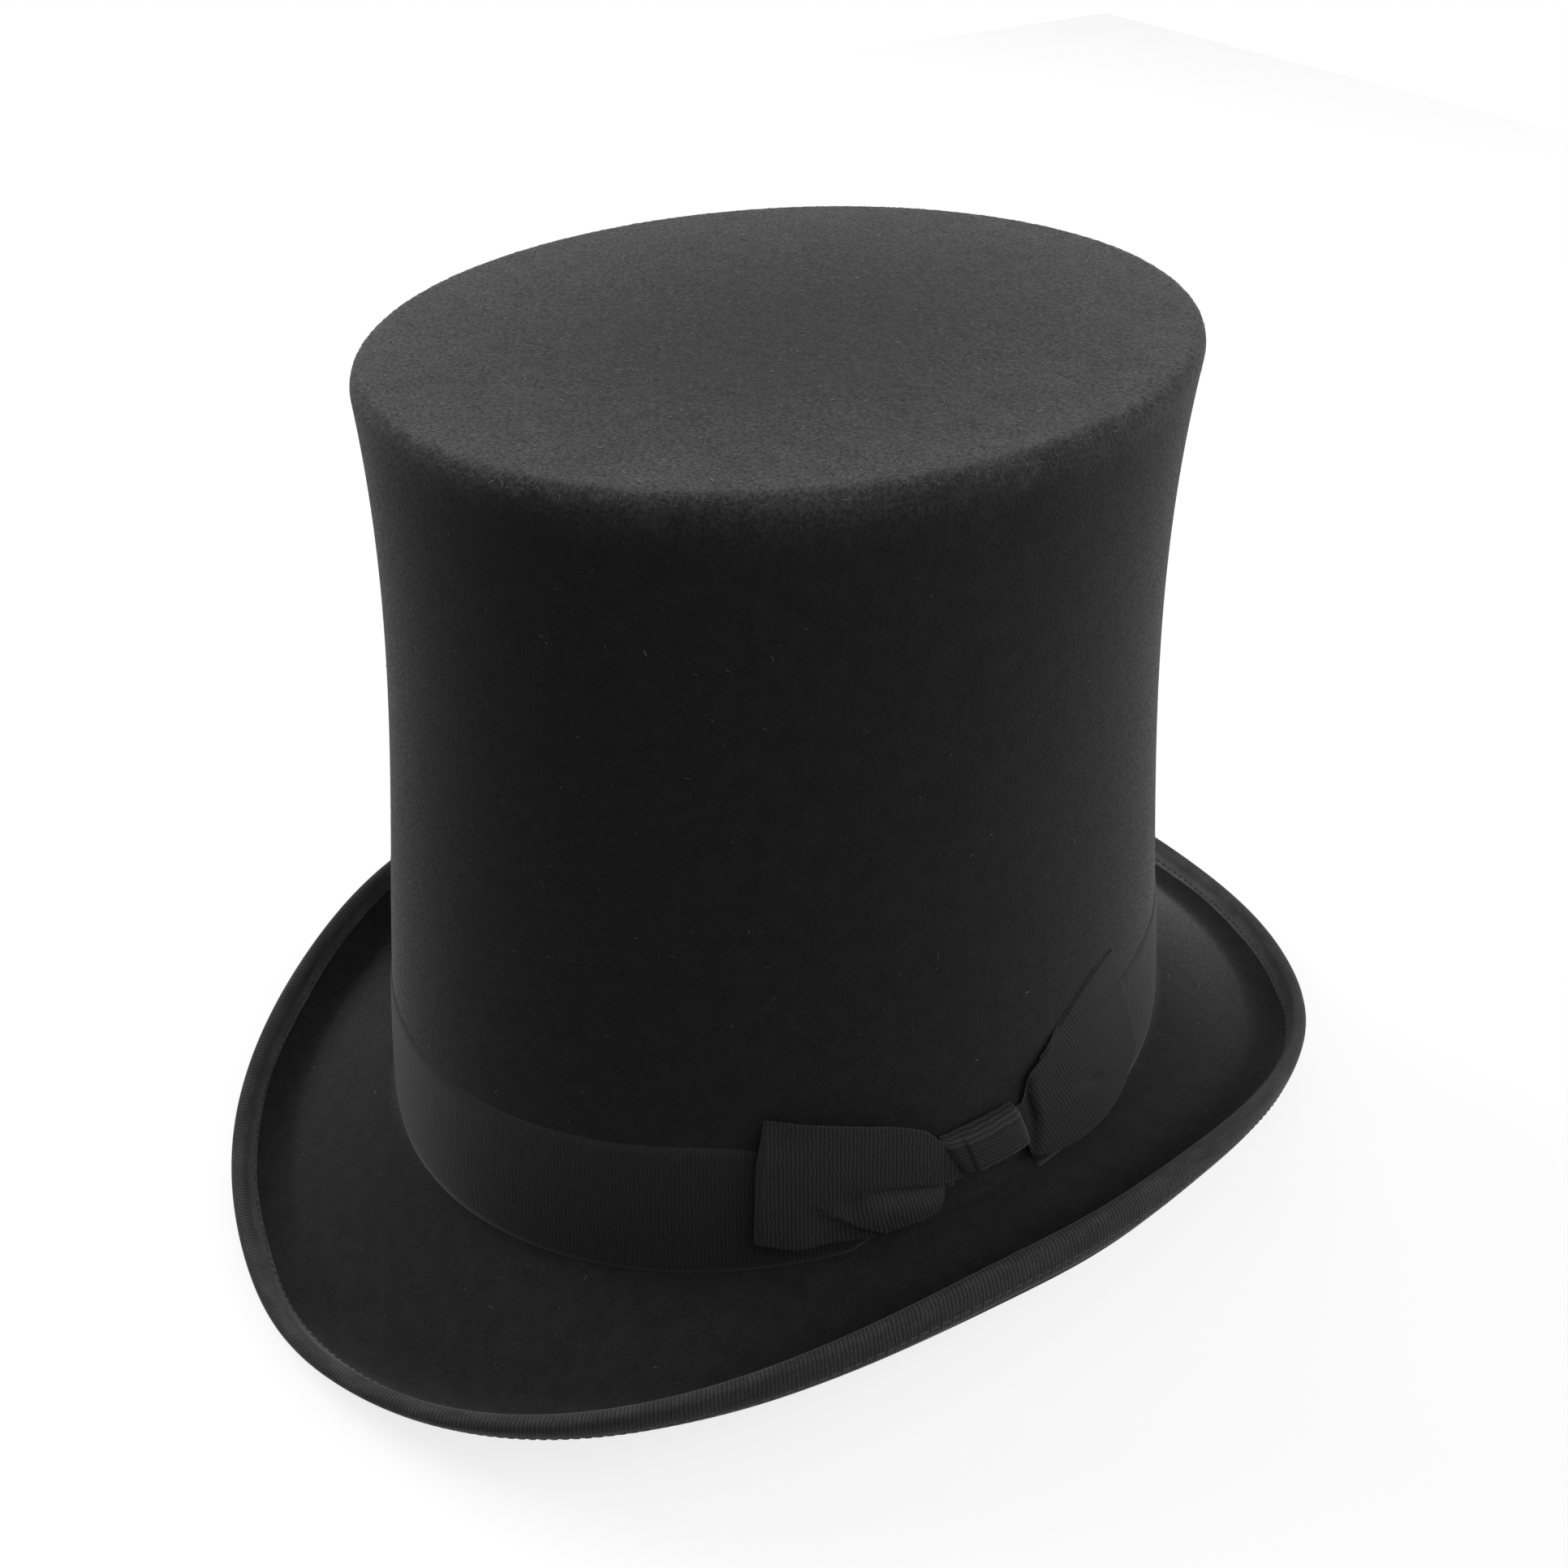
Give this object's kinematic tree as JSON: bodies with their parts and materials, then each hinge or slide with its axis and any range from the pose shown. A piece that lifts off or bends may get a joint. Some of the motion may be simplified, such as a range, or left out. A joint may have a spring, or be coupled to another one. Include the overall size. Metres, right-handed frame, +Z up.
{
  "type": "top hat",
  "caption": "Tall wool-felt top hat with hollow sides, a dipping curled brim bound in ribbon, a ribbon band with a flat side bow, a sweatband and a satin lining.",
  "frame": {"origin": "on the surface that the hat stands on, under the middle of its outline", "axes": "+Z up through the tip of the crown, -Y towards the front of the hat, +X towards the wearer's left, where the bow is"},
  "size_m": [0.2228, 0.2948, 0.2079],
  "materials": {
    "felt": "black wool felt, brushed nap",
    "binding_ribbon": "black grosgrain, folded over the rim",
    "band_ribbon": "black grosgrain, fine upright ribs",
    "bow_ribbon": "black grosgrain",
    "sweatband_leather": "black, semi matt",
    "reed": "cloth covered",
    "seam_bow_ribbon": "black satin ribbon",
    "lining_satin": "black satin"
  },
  "bodies": {
    "root": {"felt_body": "felt", "brim_binding": "binding_ribbon", "hat_band": "band_ribbon", "bow_front_loop": "bow_ribbon", "bow_rear_loop": "bow_ribbon", "bow_knot": "bow_ribbon", "sweatband": "sweatband_leather", "sweatband_reed": "reed", "sweatband_bow": "seam_bow_ribbon", "lining_side": "lining_satin", "lining_tip": "lining_satin"}
  },
  "joints": []
}
